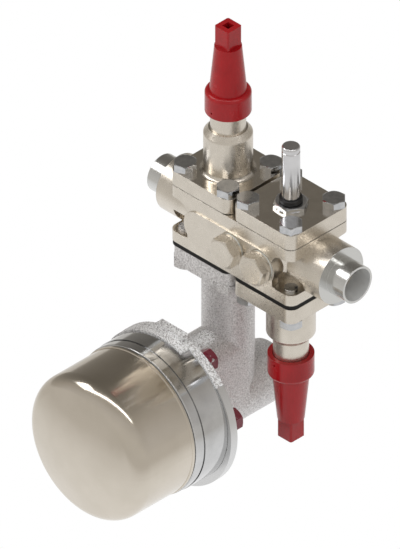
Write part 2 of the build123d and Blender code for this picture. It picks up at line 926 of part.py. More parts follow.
with BuildPart() as float_housing:
    plate(float_seat, module_flange_side, 0, module_flange_thick)
    turned(
        float_seat,
        [
            (0, module_flange_thick / 2),
            (down_pipe_radius + 5, module_flange_thick / 2),
            (down_pipe_radius + 5, module_flange_thick),
            (down_pipe_radius, module_flange_thick),
            (down_pipe_radius, cross_at),
            (0, cross_at),
        ],
        [(3, 4)],
    )
    spot_face = module_flange_thick - spot_face_depth
    spot_face_end = spot_face + 2 * bolt_head_height
    bar(float_seat, spot_face_radius, spot_face, spot_face_end, Mode.SUBTRACT, corner_spots)
    # Web between the down pipe and the round rim, and the cross tube below it
    for start, run, more, slope in (
        (0, rim_back, 0, 0),
        (rim_back, -web_flare - cavity_gap, web_flare, 45),
    ):
        with BuildSketch(chamber.offset(start)) as web:
            with Locations((0, web_rise)):
                Circle(down_pipe_radius + more)
            with Locations((0, -cross_drop)):
                Circle(cross_radius + more)
            make_hull()
        extrude(web.sketch, amount=run, taper=slope)
    turned(
        chamber_back.shift_origin((inlet_x, 0, chamber_z - cross_drop)),
        [(0, -1), (cross_radius, -1), (cross_radius, cross_back), (0, cross_back)],
        [(2, cross_round)],
    )
    with BuildSketch(chamber.offset(rim_back)) as rim:
        with Locations((0, -rim_drop)):
            Circle(rim_radius)
        with Locations((0, lug_top / 2)):
            Rectangle(lug_width, lug_top)
    extrude(rim.sketch, amount=rim_thick)
    add(top_pad.part)
    # Flow down round the return pipe and forward into the chamber
    bar(float_seat, down_pipe_bore, 0, web_at + web_bore, Mode.SUBTRACT)
    bar(chamber, web_bore, 0, rim_front, Mode.SUBTRACT, [(0, web_rise)])
    bar(float_seat, return_pipe_radius + thread_gap, web_at, cross_at, Mode.SUBTRACT)
    # Drain bore, from the back to the drain bush
    bar(chamber, drain_bore, -cross_back, drain_bore, Mode.SUBTRACT, [(0, -cross_drop)])
    bar(chamber, drain_bush_radius, 0, rim_front, Mode.SUBTRACT, [(0, -cross_drop)])
    grip = module_flange_thick - spot_face_depth
    bar(float_seat, bolt_radius + hole_gap, 0, grip, Mode.SUBTRACT, corner_spots)
    bar(chamber, rim_bolt_radius + hole_gap, rim_back, rim_front, Mode.SUBTRACT, rim_spots)
    tapped = screw_radius + thread_gap
    bar(chamber, tapped, rim_front - screw_length, rim_front, Mode.SUBTRACT, screw_spots)
finish(float_housing, "float_housing")

with BuildPart() as float_insert:
    floor = shallow_cavity + bottom_gasket_thick
    bar(float_seat, cavity_radius - cavity_gap, -floor, 0)
    bar(float_seat, return_pipe_radius + thread_gap, -floor / 2, 0, Mode.SUBTRACT)
    bar(float_seat, return_pipe_radius - return_pipe_wall, -floor, 0, Mode.SUBTRACT)
    ring_spots = [
        (flow_hole_circle * cos(turn), flow_hole_circle * sin(turn))
        for turn in (2 * pi * step / flow_hole_count for step in range(flow_hole_count))
    ]
    bar(float_seat, flow_hole_radius, -floor, 0, Mode.SUBTRACT, ring_spots)
finish(float_insert, "float_insert")

with BuildPart() as return_pipe:
    low = -(shallow_cavity + bottom_gasket_thick) / 2
    high = cross_at - drain_bore + 2
    bar(float_seat, return_pipe_radius, low, high)
    bar(float_seat, return_pipe_radius - return_pipe_wall, low, high, Mode.SUBTRACT)
finish(return_pipe, "return_pipe")

drain_back = forward(inlet_x, cross_back, chamber_z - cross_drop, 1)
with BuildPart() as closing_plug:
    bar(drain_back, closing_plug_head, 0, closing_plug_thick)
    bar(drain_back, drain_bore - thread_gap, -closing_plug_depth, 0)
    with BuildSketch(drain_back.offset(closing_plug_thick)) as socket:
        RegularPolygon(closing_plug_key / 2, 6, major_radius=False)
    extrude(socket.sketch, amount=-closing_plug_key_depth, mode=Mode.SUBTRACT)
finish(closing_plug, "closing_plug")

rim_bolts = bolt_set(
    forward(inlet_x, -rim_back, chamber_z, 1),
    [(x, -z) for x, z in rim_spots],
    rim_bolt_across,
    rim_bolt_head,
    rim_bolt_radius,
    rim_bolt_reach,
    rim_bolt_hex_turn,
)
finish(rim_bolts, "rim_bolts")


# Float chamber

with BuildPart() as notch:
    with BuildSketch(chamber.offset(rim_front)) as cut:
        Circle(pad_radius + 1)
        Circle(seal_edge, mode=Mode.SUBTRACT)
        with Locations(((pad_right - pad_left) / 2, pad_radius)):
            wide = pad_left + pad_right + 2 * cavity_gap
            Rectangle(wide, 2 * pad_radius, mode=Mode.INTERSECT)
    extrude(cut.sketch, amount=pad_length + pad_gap)

with BuildPart() as rim_seal:
    bar(chamber, ring_radius - seal_inset, rim_front, ring_back)
    add(notch.part, mode=Mode.SUBTRACT)
    bar(chamber, ring_inner, rim_front, ring_back, Mode.SUBTRACT)
    bar(chamber, rim_bolt_radius + hole_gap, rim_front, ring_back, Mode.SUBTRACT, rim_spots)
finish(rim_seal, "rim_seal")

with BuildPart() as chamber_ring:
    collar_back = ring_front - ring_collar
    spigot = dome_radius - dome_wall - cavity_gap
    turned(
        chamber,
        [
            (ring_inner, ring_back),
            (ring_radius, ring_back),
            (ring_radius, collar_back - ring_groove),
            (ring_collar_radius - ring_groove, collar_back - ring_groove),
            (ring_collar_radius - ring_groove, collar_back),
            (ring_collar_radius, collar_back),
            (ring_collar_radius, ring_front),
            (spigot, ring_front),
            (spigot, ring_front + ring_spigot),
            (ring_inner, ring_front + ring_spigot),
        ],
        [(6, 0.8)],
    )
    add(notch.part, mode=Mode.SUBTRACT)
    tapped = rim_bolt_radius + thread_gap
    depth = rim_back + rim_bolt_reach + 1
    bar(chamber, tapped, ring_back, depth, Mode.SUBTRACT, rim_spots)
finish(chamber_ring, "chamber_ring")

with BuildPart() as dome_seal:
    bar(chamber, dome_radius - 0.4, ring_front, dome_back)
    bar(chamber, dome_radius - dome_wall, ring_front, dome_back, Mode.SUBTRACT)
finish(dome_seal, "dome_seal")


def dome_arcs(radius, knuckle, crown, knuckle_at):
    """The knuckle and crown of a dished end: where they meet, and the crown's top height."""
    centre_radius = radius - knuckle
    tilt = degrees(asin(centre_radius / (crown - knuckle)))
    meet = (
        centre_radius + knuckle * sin(radians(tilt)),
        knuckle_at + knuckle * cos(radians(tilt)),
    )
    mid = radians((90 + tilt) / 2)
    waypoint = (centre_radius + knuckle * sin(mid), knuckle_at + knuckle * cos(mid))
    middle = knuckle_at - (crown - knuckle) * cos(radians(tilt))
    half = radians(tilt / 2)
    crown_mid = (crown * sin(half), middle + crown * cos(half))
    top = middle + sqrt(crown**2 - crown_flat**2)
    return waypoint, meet, crown_mid, top


knuckle_at = dome_back + dome_straight
with BuildPart() as float_dome:
    for shrink in (0, dome_wall):
        radius = dome_radius - shrink
        way, meet, crown_mid, top = dome_arcs(
            radius, dome_knuckle - shrink, dome_crown - shrink, knuckle_at
        )
        with BuildSketch(Plane(origin=chamber.origin, x_dir=(1, 0, 0), z_dir=(0, 0, -1))) as dish:
            with BuildLine():
                Line((0, dome_back), (radius, dome_back))
                Line((radius, dome_back), (radius, knuckle_at))
                ThreePointArc((radius, knuckle_at), way, meet)
                ThreePointArc(meet, crown_mid, (crown_flat, top))
                Line((crown_flat, top), (0, top))
                Line((0, top), (0, dome_back))
            make_face()
        mode = Mode.ADD if shrink == 0 else Mode.SUBTRACT
        revolve(dish.sketch, axis=Axis(chamber.origin, chamber.z_dir), mode=mode)
        if shrink == 0:
            turned(
                chamber,
                [
                    (0, dome_back),
                    (dome_radius + dome_lip, dome_back),
                    (dome_radius + dome_lip, dome_back + dome_lip_length),
                    (dome_radius - 1, dome_back + dome_lip_length + 1),
                    (0, dome_back + dome_lip_length + 1),
                ],
            )
finish(float_dome, "float_dome")


# Float, lever and drain needle

pivot = forward(inlet_x, -pivot_at, chamber_z + pivot_z)
pin_axis = Plane(origin=pivot.origin, x_dir=(0, -1, 0), z_dir=(1, 0, 0))
arm_way = Vector(0, -cos(radians(lever_rest_angle)), sin(radians(lever_rest_angle)))
ball_centre = pivot.origin + arm_way * lever_length
ear_inner = hub_width / 2 + ear_gap
ear_outer = ear_inner + ear_thick

with BuildPart() as float_ball:
    with Locations(ball_centre):
        Sphere(ball_radius)
    arm = Plane(origin=pivot.origin, x_dir=(1, 0, 0), z_dir=arm_way)
    bar(arm, lever_width / 2 + thread_gap, 0, lever_length - ball_radius / 2, Mode.SUBTRACT)
finish(float_ball, "float_ball")

with BuildPart() as float_lever:
    bar(pin_axis, hub_radius, -hub_width / 2, hub_width / 2)
    bar(arm, lever_width / 2, 0, lever_length - ball_radius / 2 - cavity_gap)
    # Short arm with a round end that sits in the needle's slot
    short_way = 90 + lever_sweep / 2
    with BuildSketch(pin_axis) as short:
        with PolarLocations(short_arm, 1, start_angle=short_way):
            Circle(button_radius)
        with PolarLocations(short_arm / 2, 1, start_angle=short_way):
            Rectangle(short_arm, 2)
    extrude(short.sketch, amount=1.5, both=True)
    bar(pin_axis, pivot_radius + shaft_gap, -hub_width, hub_width, Mode.SUBTRACT)
finish(float_lever, "float_lever")

with BuildPart() as pivot_pin:
    bar(pin_axis, pivot_radius, -ear_outer - 1, ear_outer + 1)
finish(pivot_pin, "pivot_pin")

with BuildPart() as pivot_bracket:
    with BuildSketch(chamber.offset(rim_front)) as foot_plate:
        with Locations((0, foot_low)):
            Rectangle(2 * ear_outer, hub_radius * 3, align=(Align.CENTER, Align.MIN))
    extrude(foot_plate.sketch, amount=ear_thick)
    for side in (-1, 1):
        with BuildSketch(pin_axis.offset(side * (ear_inner + ear_thick / 2))) as ear:
            Circle(hub_radius)
            with Locations((-pivot_forward / 2, 0)):
                Rectangle(pivot_forward, 2 * hub_radius)
        extrude(ear.sketch, amount=ear_thick / 2, both=True)
    bar(pin_axis, pivot_radius + shaft_gap / 2, -ear_outer, ear_outer, Mode.SUBTRACT)
    foot_top = rim_front + ear_thick
    bar(chamber, screw_radius + thread_gap, rim_front, foot_top, Mode.SUBTRACT, screw_spots)
finish(pivot_bracket, "pivot_bracket")

with BuildPart() as bracket_screws:
    head = rim_front + ear_thick
    bar(chamber, screw_radius, rim_front - screw_length, head, spots=screw_spots)
    bar(chamber, 2 * screw_radius - 0.3, head, head + 2 * screw_radius, spots=screw_spots)
    with BuildSketch(chamber.offset(head + screw_radius)) as sockets:
        with Locations(*screw_spots):
            RegularPolygon(screw_radius * 0.8, 6, major_radius=False)
    extrude(sockets.sketch, amount=screw_radius, mode=Mode.SUBTRACT)
finish(bracket_screws, "bracket_screws")

drain = forward(inlet_x, 0, chamber_z - cross_drop)
bush_back = rim_front - drain_bush_length
seat_front = bush_back + orifice_length
with BuildPart() as drain_bush:
    bar(drain, drain_bush_radius - thread_gap, bush_back, rim_front)
    bar(drain, drain_bush_flange, rim_front, rim_front + 2.5)
    bar(drain, needle_bore, seat_front, rim_front + 2.5, Mode.SUBTRACT)
    bar(drain, orifice_radius, bush_back, seat_front, Mode.SUBTRACT)
finish(drain_bush, "drain_bush")

slot_at = pivot_at - short_arm * sin(radians(lever_sweep / 2))
with BuildPart() as drain_needle:
    tip = seat_front - needle_cone / 3
    turned(
        drain,
        [
            (0, tip),
            (needle_tip_radius, tip),
            (needle_radius, tip + needle_cone),
            (needle_radius, tip + needle_length),
            (0, tip + needle_length),
        ],
    )
    with BuildSketch(drain.offset(tip)) as flats:
        Circle(needle_radius * 2)
        Rectangle(needle_square, needle_square, mode=Mode.SUBTRACT)
    extrude(flats.sketch, amount=needle_length, mode=Mode.SUBTRACT)
    slot_floor = pivot_rise - short_arm - button_radius - cavity_gap
    with BuildSketch(drain.offset(slot_at - button_radius - cavity_gap)) as slot:
        with Locations((0, slot_floor)):
            Rectangle(3 * needle_radius, 3 * needle_radius, align=(Align.CENTER, Align.MIN))
    extrude(slot.sketch, amount=2 * (button_radius + cavity_gap), mode=Mode.SUBTRACT)
finish(drain_needle, "drain_needle")
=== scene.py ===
"""Looks of the refrigeration valve station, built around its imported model, in metres."""

import json
from math import cos, pi, radians, sin

import bmesh
import bpy
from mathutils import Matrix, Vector

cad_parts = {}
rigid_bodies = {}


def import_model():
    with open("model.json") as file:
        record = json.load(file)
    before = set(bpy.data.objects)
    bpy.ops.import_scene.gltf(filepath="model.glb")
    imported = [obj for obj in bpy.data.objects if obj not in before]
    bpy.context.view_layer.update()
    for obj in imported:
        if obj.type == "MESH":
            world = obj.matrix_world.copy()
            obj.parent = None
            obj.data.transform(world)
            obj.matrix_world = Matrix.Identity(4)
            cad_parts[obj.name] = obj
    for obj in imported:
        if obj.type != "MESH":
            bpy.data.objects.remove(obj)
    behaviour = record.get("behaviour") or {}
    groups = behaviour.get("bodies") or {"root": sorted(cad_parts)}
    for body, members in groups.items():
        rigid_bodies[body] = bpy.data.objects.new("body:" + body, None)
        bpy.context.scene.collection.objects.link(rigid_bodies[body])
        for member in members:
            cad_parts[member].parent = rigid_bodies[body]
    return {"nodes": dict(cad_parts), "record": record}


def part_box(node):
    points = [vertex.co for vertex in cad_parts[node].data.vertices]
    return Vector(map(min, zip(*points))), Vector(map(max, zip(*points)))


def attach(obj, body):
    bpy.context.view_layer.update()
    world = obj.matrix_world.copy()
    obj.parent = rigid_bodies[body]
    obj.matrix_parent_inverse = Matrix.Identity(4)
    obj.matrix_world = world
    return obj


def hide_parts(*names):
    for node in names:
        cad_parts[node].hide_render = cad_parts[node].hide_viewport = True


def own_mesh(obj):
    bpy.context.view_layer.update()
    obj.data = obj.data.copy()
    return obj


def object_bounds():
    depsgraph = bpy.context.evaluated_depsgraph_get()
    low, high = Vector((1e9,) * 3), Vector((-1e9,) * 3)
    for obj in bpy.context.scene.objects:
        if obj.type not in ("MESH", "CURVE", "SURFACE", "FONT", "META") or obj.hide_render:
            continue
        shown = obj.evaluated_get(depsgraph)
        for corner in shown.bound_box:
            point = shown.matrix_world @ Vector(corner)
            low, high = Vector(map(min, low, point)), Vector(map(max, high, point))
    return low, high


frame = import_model()
cad_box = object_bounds()
scene = bpy.context.scene

MM = 0.001
STATION_LENGTH = 196.4 * MM
STUB_LENGTH = 16.4 * MM
STUB_BORE_RADIUS = 12.75 * MM
COVER_TOP = 36.6 * MM
RIM_BACK = 53.0 * MM
INLET_X = 66.7 * MM
OUTLET_X = 129.7 * MM
CHAMBER_Z = -137.1 * MM

# Real sizes that set the scale of each pattern
CAST_SKIN = 1.5 * MM
CAST_GRAIN = 1.1 * MM
PLATING_CLOUD = 9.0 * MM
PLATED_SKIN = 0.8 * MM
ZINC_CLOUD = 4.0 * MM
ZINC_SKIN = 1.5 * MM
TURNING_FEED = 0.35 * MM  # a real feed is about 0.15 mm, too fine to show here
MOULD_FLOW = 12.0 * MM
MOULDED_SKIN = 2.5 * MM
DRAWING_CLOUD = 30.0 * MM
LACQUER_DAB = 7.0 * MM
FIBRE = 0.6 * MM
RUBBER_CLOUD = 1.5 * MM
SEAL_CLOUD = 2.0 * MM
WEAR_PATCH = 14.0 * MM
PAPER_TOOTH = 3.0 * MM
BROKEN_EDGE = 0.45 * MM

# Where the silver casting changes: the line that its rim is turned below, the way that the web's
# top faces for its painted highlight, how far back that top begins, and the stretch over which
# the painted shade on its rough stretch gives way to lighter colour
TURNED_RIM = radians(37.0)
WEB_TOP_WAY = (0.17, 0.0, 0.985)
WEB_TOP_FRONT = (-22.0 * MM, -18.0 * MM)
LIGHTER_FROM_TO = (40.0 * MM, 80.0 * MM)


def srgb(text):
    """Linear colour of an sRGB hex value."""
    channels = [int(text[at : at + 2], 16) / 255 for at in (1, 3, 5)]
    linear = [c / 12.92 if c <= 0.04045 else ((c + 0.055) / 1.055) ** 2.4 for c in channels]
    return (*linear, 1.0)


def add_node(tree, kind, sockets=None, **settings):
    """Add a node with its settings; each socket gets a value or another node's output."""
    node = tree.nodes.new(kind)
    for key, value in settings.items():
        setattr(node, key, value)
    for key, value in (sockets or {}).items():
        if isinstance(value, bpy.types.NodeSocket):
            tree.links.new(value, node.inputs[key])
        else:
            node.inputs[key].default_value = value
    return node


def start_material(name, **sockets):
    """A new material with its shader and the piece's own coordinates."""
    material = bpy.data.materials.new(name)
    material.use_nodes = True
    tree = material.node_tree
    shader = tree.nodes["Principled BSDF"]
    for key, value in sockets.items():
        shader.inputs[key.replace("_", " ")].default_value = value
    place = add_node(tree, "ShaderNodeTexCoord").outputs["Object"]
    return material, tree, shader, place


def drive(tree, shader, **outputs):
    """Let node outputs drive the shader's sockets of these names."""
    for key, output in outputs.items():
        tree.links.new(output, shader.inputs[key.replace("_", " ")])


def noise(tree, place, size, detail=3.0, roughness=0.5):
    """Noise whose features are about that size, in metres."""
    sockets = {"Vector": place, "Scale": 1 / size, "Detail": detail, "Roughness": roughness}
    return add_node(tree, "ShaderNodeTexNoise", sockets).outputs["Fac"]


def spread(tree, value, low, high, start=0.3, end=0.7):
    """Map the range start to end, a pattern's middle unless given, onto low to high."""
    sockets = {"Value": value, "From Min": start, "From Max": end, "To Min": low, "To Max": high}
    return add_node(tree, "ShaderNodeMapRange", sockets).outputs["Result"]


def share(tree, value, start=0.3, end=0.7):
    """Rise from 0 to 1 between start and end."""
    return spread(tree, value, 0.0, 1.0, start, end)


def compute(tree, operation, *values):
    """Result of a sum on one or two values."""
    return add_node(
        tree, "ShaderNodeMath", dict(enumerate(values)), operation=operation
    ).outputs[0]


def split(tree, vector):
    """The X, Y and Z outputs of a vector."""
    return add_node(tree, "ShaderNodeSeparateXYZ", {"Vector": vector}).outputs


def measure(tree, vector, other, operation="DOT_PRODUCT"):
    """A value from two vectors: how far one reaches along the other, or their distance."""
    sockets = {0: vector, 1: other}
    return add_node(tree, "ShaderNodeVectorMath", sockets, operation=operation).outputs["Value"]


def surface_normal(tree):
    """The way that the surface faces."""
    return add_node(tree, "ShaderNodeNewGeometry").outputs["Normal"]


def blend_values(tree, factor, first, second):
    """Mix two values."""
    sockets = {0: factor, 2: first, 3: second}
    return add_node(tree, "ShaderNodeMix", sockets, data_type="FLOAT").outputs[0]


def blend_colours(tree, factor, first, second):
    """Mix two colours, each a hex value or a colour output."""
    sockets = {0: factor}
    for key, colour in ((6, first), (7, second)):
        sockets[key] = srgb(colour) if isinstance(colour, str) else colour
    return add_node(tree, "ShaderNodeMix", sockets, data_type="RGBA").outputs[2]


def bump(tree, shader, height, depth, broken_edge=0.0):
    """Relief of that depth, and edges that are broken by that radius, both in metres."""
    sockets = {"Height": height, "Distance": depth, "Strength": 1.0}
    if broken_edge:
        edges = add_node(tree, "ShaderNodeBevel", {"Radius": broken_edge}, samples=4)
        sockets["Normal"] = edges.outputs["Normal"]
    drive(tree, shader, Normal=add_node(tree, "ShaderNodeBump", sockets).outputs["Normal"])


# Axes of the turned pieces: a point on the axis, and the turn from Z to the axis
UPRIGHT = (0.0, 0.0, 0.0)
ALONG_Y = (pi / 2, 0.0, 0.0)
ALONG_X = (0.0, pi / 2, 0.0)
PIPE_LINE = ((0.0, 0.0, 0.0), ALONG_X)
INLET_STACK = ((INLET_X, 0.0, 0.0), UPRIGHT)
OUTLET_STACK = ((OUTLET_X, 0.0, 0.0), UPRIGHT)
CHAMBER = ((INLET_X, 0.0, CHAMBER_Z), ALONG_Y)


def lathe_place(tree, place, centre, tilt):
    """Coordinates of radius and height about a turned piece's axis."""
    sockets = {"Vector": place, "Location": centre, "Rotation": tilt}
    on_axis = split(
        tree,
        add_node(tree, "ShaderNodeMapping", sockets, vector_type="TEXTURE").outputs["Vector"],
    )
    flat = add_node(tree, "ShaderNodeCombineXYZ", {"X": on_axis["X"], "Y": on_axis["Y"]})
    radius = add_node(
        tree, "ShaderNodeVectorMath", {0: flat.outputs["Vector"]}, operation="LENGTH"
    ).outputs["Value"]
    both = add_node(tree, "ShaderNodeCombineXYZ", {"X": radius, "Y": on_axis["Z"]})
    return both.outputs["Vector"]


def turned_metal(name, colour, dark, roughness, axis, depth=0.01 * MM):
    """Bright metal from a lathe: fine rings round the axis that stretch the highlights."""
    material, tree, shader, place = start_material(name, Metallic=1.0)
    rings = noise(tree, lathe_place(tree, place, *axis), TURNING_FEED, 2.0)
    cloud = noise(tree, place, WEAR_PATCH)
    drive(
        tree,
        shader,
        Base_Color=blend_colours(tree, share(tree, cloud), dark, colour),
        Roughness=spread(tree, rings, roughness * 0.7, roughness * 1.3),
    )
    bump(tree, shader, rings, depth)
    return material


def nickel_plated_iron():
    """Cast iron under satin nickel: warm and softly reflecting, ground flat on the covers."""
    material, tree, shader, place = start_material("satin_nickel_plating", Metallic=1.0)
    cloud = noise(tree, place, PLATING_CLOUD)
    warm = blend_colours(tree, share(tree, cloud), "#D5CEC3", "#DED7CC")
    at = split(tree, place)
    level = compute(tree, "ABSOLUTE", split(tree, surface_normal(tree))["Z"])
    flat_faces = share(tree, level, 0.97, 0.99)
    on_top = share(tree, at["Z"], COVER_TOP - 0.4 * MM, COVER_TOP - 0.2 * MM)
    ground = compute(tree, "MULTIPLY", flat_faces, on_top)
    # The weld stubs and the shoulders behind them are turned bare after plating
    middle = compute(tree, "SUBTRACT", at["X"], STATION_LENGTH / 2)
    outward = compute(tree, "ABSOLUTE", middle)
    edge = STATION_LENGTH / 2 - STUB_LENGTH - 0.2 * MM
    bare = share(tree, outward, edge, edge + 0.05 * MM)
    # Their bores are left grey and dull
    turned = lathe_place(tree, place, *PIPE_LINE)
    wall = STUB_BORE_RADIUS + 0.1 * MM
    bored = spread(tree, split(tree, turned)["X"], 1.0, 0.0, wall, wall + 0.2 * MM)
    skin = noise(tree, place, PLATED_SKIN, 4.0)
    rings = noise(tree, turned, TURNING_FEED, 2.0)
    plated = blend_values(tree, ground, spread(tree, skin, 0.24, 0.36), 0.13)
    drive(
        tree,
        shader,
        Base_Color=blend_colours(tree, bare, warm, "#D2D2D0"),
        Metallic=spread(tree, bored, 1.0, 0.1, 0.0, 1.0),
        Roughness=blend_values(tree, bare, plated, spread(tree, rings, 0.14, 0.26)),
    )
    machined = compute(tree, "MAXIMUM", ground, bare)
    bump(tree, shader, blend_values(tree, machined, skin, 0.5), 0.03 * MM, BROKEN_EDGE)
    return material


def zinc_plated_steel():
    """Bolt steel under bright zinc: cool, sharp reflections with faint clouding."""
    material, tree, shader, place = start_material("bright_zinc_plating", Metallic=1.0)
    cloud = noise(tree, place, ZINC_CLOUD)
    drive(
        tree,
        shader,
        Base_Color=blend_colours(tree, share(tree, cloud), "#B9BBBE", "#CFD0D2"),
        Roughness=spread(tree, cloud, 0.08, 0.16),
    )
    bump(tree, shader, noise(tree, place, ZINC_SKIN), 0.01 * MM, BROKEN_EDGE)
    return material


def sand_cast_iron():
    """Sand casting under silver paint: a coarse skin that breaks every highlight, with painted
    glints where it faces the light.
    """
    material, tree, shader, place = start_material("silver_painted_sand_casting")
    grain = noise(tree, place, CAST_GRAIN, 4.0, 0.65)
    skin = noise(tree, place, CAST_SKIN, 3.0, 0.6)
    at = split(tree, place)
    # The round rim is turned smooth on its outside, apart from the stretch by the top lug
    front = spread(tree, at["Y"], 1.0, 0.0, -RIM_BACK - 0.1 * MM, -RIM_BACK + 0.1 * MM)
    depth = measure(tree, place, (sin(TURNED_RIM), 0.0, -cos(TURNED_RIM)))
    line = INLET_X * sin(TURNED_RIM) - CHAMBER_Z * cos(TURNED_RIM)
    smooth = compute(tree, "MULTIPLY", front, share(tree, depth, line, line + 0.3 * MM))
    # The stretch by the lug is left rough, with painted highlights as white glints in its grain,
    # and the web's top behind it gets the same painted highlight where it faces up into the light
    by_lug = compute(tree, "SUBTRACT", front, smooth)
    upward = share(tree, measure(tree, surface_normal(tree), WEB_TOP_WAY), 0.91, 0.97)
    painted_web_highlight = compute(tree, "MULTIPLY", upward, spread(tree, at["Y"], 1.0, 0.0, *WEB_TOP_FRONT))
    rough_with_painted_glints = compute(tree, "MAXIMUM", by_lug, painted_web_highlight)
    # Painted shade: the rough stretch is darker to the left, where less light falls, and lighter
    # to the right
    shade = share(tree, at["X"], *LIGHTER_FROM_TO)
    # Painted highlights: the rough stretch's grain is flecked with light grey to white glints
    dull = blend_colours(tree, shade, "#7F7C7A", "#A8A4A1")
    painted_glint_colour = blend_colours(tree, shade, "#D2CFCD", "#FFFFFF")
    painted_glints = blend_colours(tree, share(tree, grain, 0.42, 0.52), dull, painted_glint_colour)
    paint = blend_colours(tree, share(tree, grain, 0.35, 0.65), "#ABA7A6", "#E9E7E6")
    rugged = blend_colours(tree, rough_with_painted_glints, paint, painted_glints)
    metal = spread(tree, smooth, 0.6, 1.0, 0.0, 1.0)
    drive(
        tree,
        shader,
        Base_Color=blend_colours(tree, smooth, rugged, "#D4D4D4"),
        Metallic=blend_values(tree, rough_with_painted_glints, metal, 0.15),
        Roughness=blend_values(tree, front, spread(tree, skin, 0.24, 0.5), 0.26),
    )
    coarse = compute(tree, "ADD", grain, skin)
    height = compute(tree, "MULTIPLY", coarse, spread(tree, rough_with_painted_glints, 1.0, 2.5, 0.0, 1.0))
    bump(tree, shader, blend_values(tree, smooth, height, 1.0), 0.35 * MM)
    return material


def moulded_red_plastic():
    """Injection moulded nylon in a deep signal red: smooth gloss over a faint flow."""
    material, tree, shader, place = start_material(
        "gloss_red_nylon", IOR=1.53, Specular_IOR_Level=0.3, Coat_Weight=0.1, Coat_Roughness=0.06
    )
    flow = noise(tree, place, MOULD_FLOW)
    drive(
        tree,
        shader,
        Base_Color=blend_colours(tree, share(tree, flow), "#8E0C12", "#9C1016"),
        Roughness=spread(tree, flow, 0.2, 0.28),
    )
    bump(tree, shader, noise(tree, place, MOULDED_SKIN), 0.02 * MM)
    return material


def drawn_beige_steel():
    """Deep drawn cap under satin nickel: broad soft highlights with the faintest grain."""
    material, tree, shader, place = start_material("satin_nickel_drawn_steel", Metallic=1.0)
    cloud = noise(tree, place, DRAWING_CLOUD)
    grain = noise(tree, place, PLATED_SKIN)
    drive(
        tree,
        shader,
        Base_Color=blend_colours(tree, share(tree, cloud), "#CBC3B6", "#D3CBBF"),
        Roughness=spread(tree, grain, 0.14, 0.18),
    )
    bump(tree, shader, grain, 0.015 * MM)
    return material


def chipped_red_enamel():
    """Dark red lacquer dabbed on bolts, with bare steel where a spanner took it off."""
    material, tree, shader, place = start_material("chipped_red_enamel", IOR=1.5)
    dab = noise(tree, place, LACQUER_DAB, 2.0)
    bare = share(tree, dab, 0.62, 0.64)
    drive(
        tree,
        shader,
        Base_Color=blend_colours(tree, bare, "#6B2430", "#C4C4C4"),
        Metallic=bare,
        Roughness=spread(tree, dab, 0.2, 0.4),
    )
    bump(tree, shader, bare, 0.1 * MM)
    return material


def clouded(name, size, detail, dark, light, roughness, relief, **sockets):
    """A matt material with one fine pattern in its colour, its gloss and its relief."""
    material, tree, shader, place = start_material(name, **sockets)
    pattern = noise(tree, place, size, detail)
    drive(
        tree,
        shader,
        Base_Color=blend_colours(tree, share(tree, pattern), dark, light),
        Roughness=spread(tree, pattern, *roughness),
    )
    bump(tree, shader, pattern, relief)
    return material


def fibre_gasket(name, dark, light):
    """Pressed fibre sheet: matt, with slightly felted edges."""
    return clouded(name, FIBRE, 4.0, dark, light, (0.6, 0.85), 0.05 * MM, IOR=1.45)


nickel = nickel_plated_iron()
zinc = zinc_plated_steel()
casting = sand_cast_iron()
red = moulded_red_plastic()
dome_metal = drawn_beige_steel()
red_enamel = chipped_red_enamel()
gasket = fibre_gasket("pressed_black_fibre", "#050505", "#0E0D0C")
rim_fibre = fibre_gasket("pressed_grey_fibre", "#9A9A9A", "#B0B0B0")
# A ring that is black, with a soft sheen from its mould
rubber = clouded(
    "moulded_nitrile_rubber",
    RUBBER_CLOUD,
    3.0,
    "#080808",
    "#121212",
    (0.35, 0.5),
    0.02 * MM,
    IOR=1.52,
)
# Rings that are waxy white, matt and a little translucent at the edge
white_seal = clouded(
    "skived_white_fluoropolymer",
    SEAL_CLOUD,
    3.0,
    "#DAD9D2",
    "#ECEBE6",
    (0.4, 0.55),
    0.02 * MM,
    IOR=1.35,
    Subsurface_Weight=0.15,
)
ring_steel = turned_metal("turned_ring_steel", "#CDCDCD", "#BFBFBF", 0.1, CHAMBER)
tube_steel = turned_metal("turned_stainless_tube", "#DADADC", "#CACACC", 0.2, OUTLET_STACK)
chamber_steel = turned_metal("turned_chamber_steel", "#C9C9CB", "#B2B2B4", 0.25, CHAMBER)
inlet_steel = turned_metal("turned_inlet_stack_steel", "#C9C9CB", "#B2B2B4", 0.25, INLET_STACK)
outlet_steel = turned_metal("turned_outlet_stack_steel", "#C9C9CB", "#B2B2B4", 0.25, OUTLET_STACK)
drain_brass = turned_metal("turned_free_cutting_brass", "#D9B45F", "#C09A4A", 0.25, CHAMBER)

finishes = {
    "valve_body": nickel,
    "middle_side_plug": nickel,
    "outlet_side_plug": nickel,
    "side_plug_washers": white_seal,
    "solenoid_cover": nickel,
    "solenoid_gasket": gasket,
    "solenoid_bolts": zinc,
    "solenoid_insert": outlet_steel,
    "servo_piston": outlet_steel,
    "servo_piston_ring": white_seal,
    "servo_spring": outlet_steel,
    "armature_tube": tube_steel,
    "armature_tube_nut": zinc,
    "armature_tube_ring": rubber,
    "armature": outlet_steel,
    "armature_spring": outlet_steel,
    "float_module_gasket": gasket,
    "float_module_bolts": casting,
    "float_housing": casting,
    "float_insert": inlet_steel,
    "return_pipe": inlet_steel,
    "closing_plug": zinc,
    "rim_bolts": red_enamel,
    "rim_seal": rim_fibre,
    "chamber_ring": ring_steel,
    "dome_seal": rim_fibre,
    "float_dome": dome_metal,
    "float_ball": chamber_steel,
    "float_lever": chamber_steel,
    "pivot_pin": chamber_steel,
    "pivot_bracket": chamber_steel,
    "bracket_screws": zinc,
    "drain_bush": drain_brass,
    "drain_needle": chamber_steel,
}
